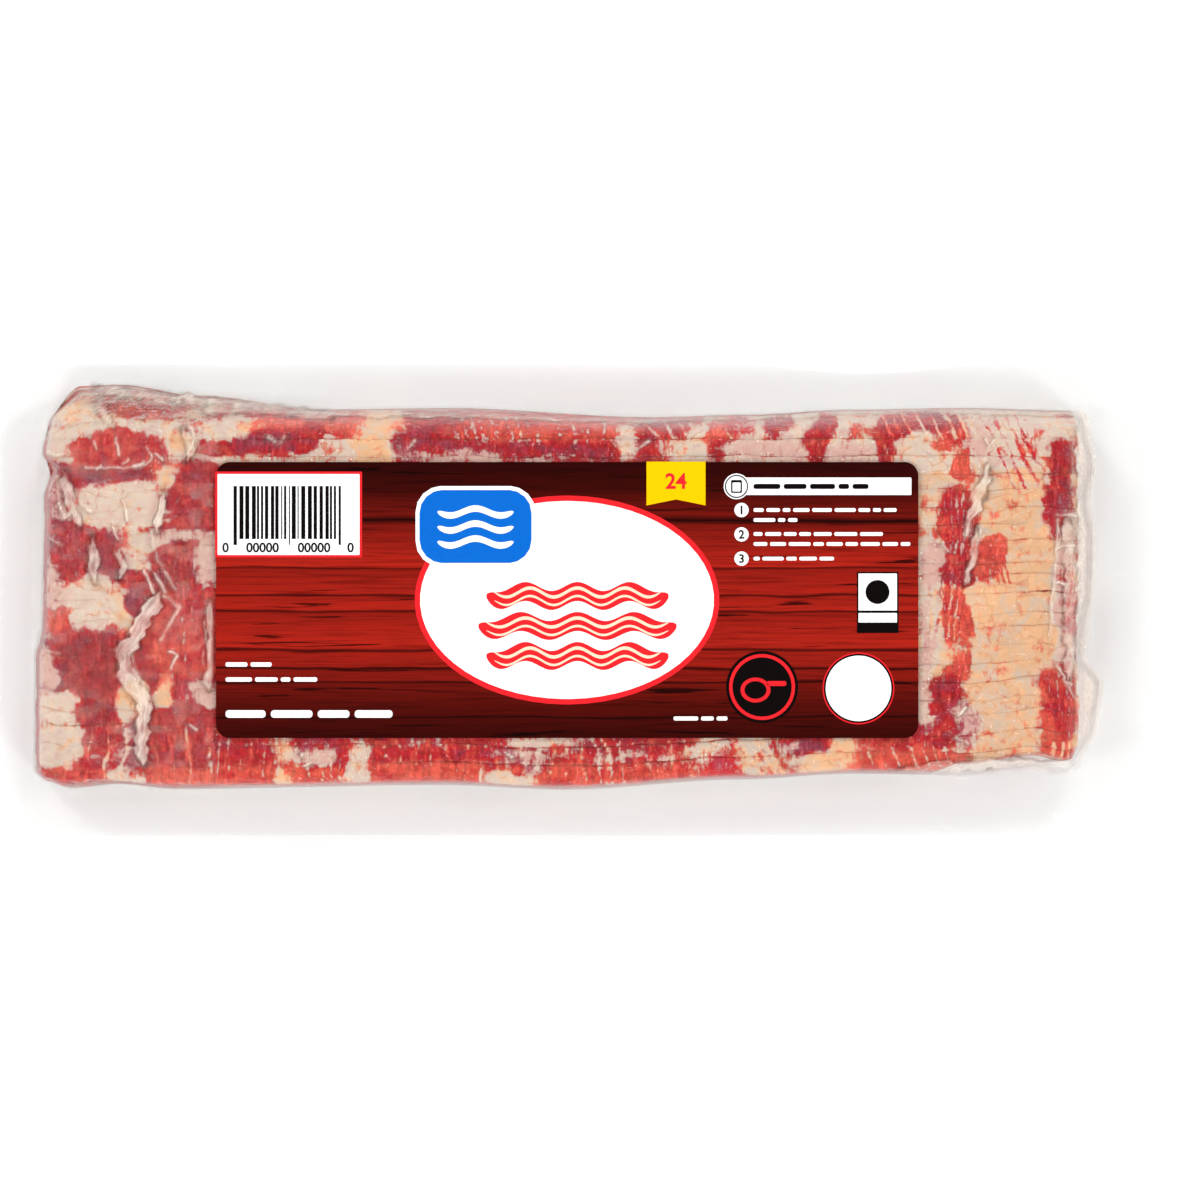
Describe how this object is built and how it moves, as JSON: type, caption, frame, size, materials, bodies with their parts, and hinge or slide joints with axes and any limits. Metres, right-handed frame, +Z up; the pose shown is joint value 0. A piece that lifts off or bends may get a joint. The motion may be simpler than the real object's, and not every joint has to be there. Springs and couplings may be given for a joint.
{
  "type": "bacon pack",
  "caption": "Long flat vacuum pack of leaning bacon slices in clear film, with a wide sealed film border and a printed label on top.",
  "frame": {"origin": "middle of the film sheet's outline, on the surface that the pack lies on", "axes": "+X along the pack and its label, +Y across it towards the edge where the last slice slopes down, +Z up through the printed side"},
  "size_m": [0.342, 0.134, 0.0242],
  "materials": {
    "clear_film": "clear glossy film, drawn tight",
    "bacon": "moist raw meat with fat",
    "label": "gloss print on film"
  },
  "bodies": {
    "root": {"sealed_pouch": "clear_film", "front_label": "label"}
  },
  "joints": []
}
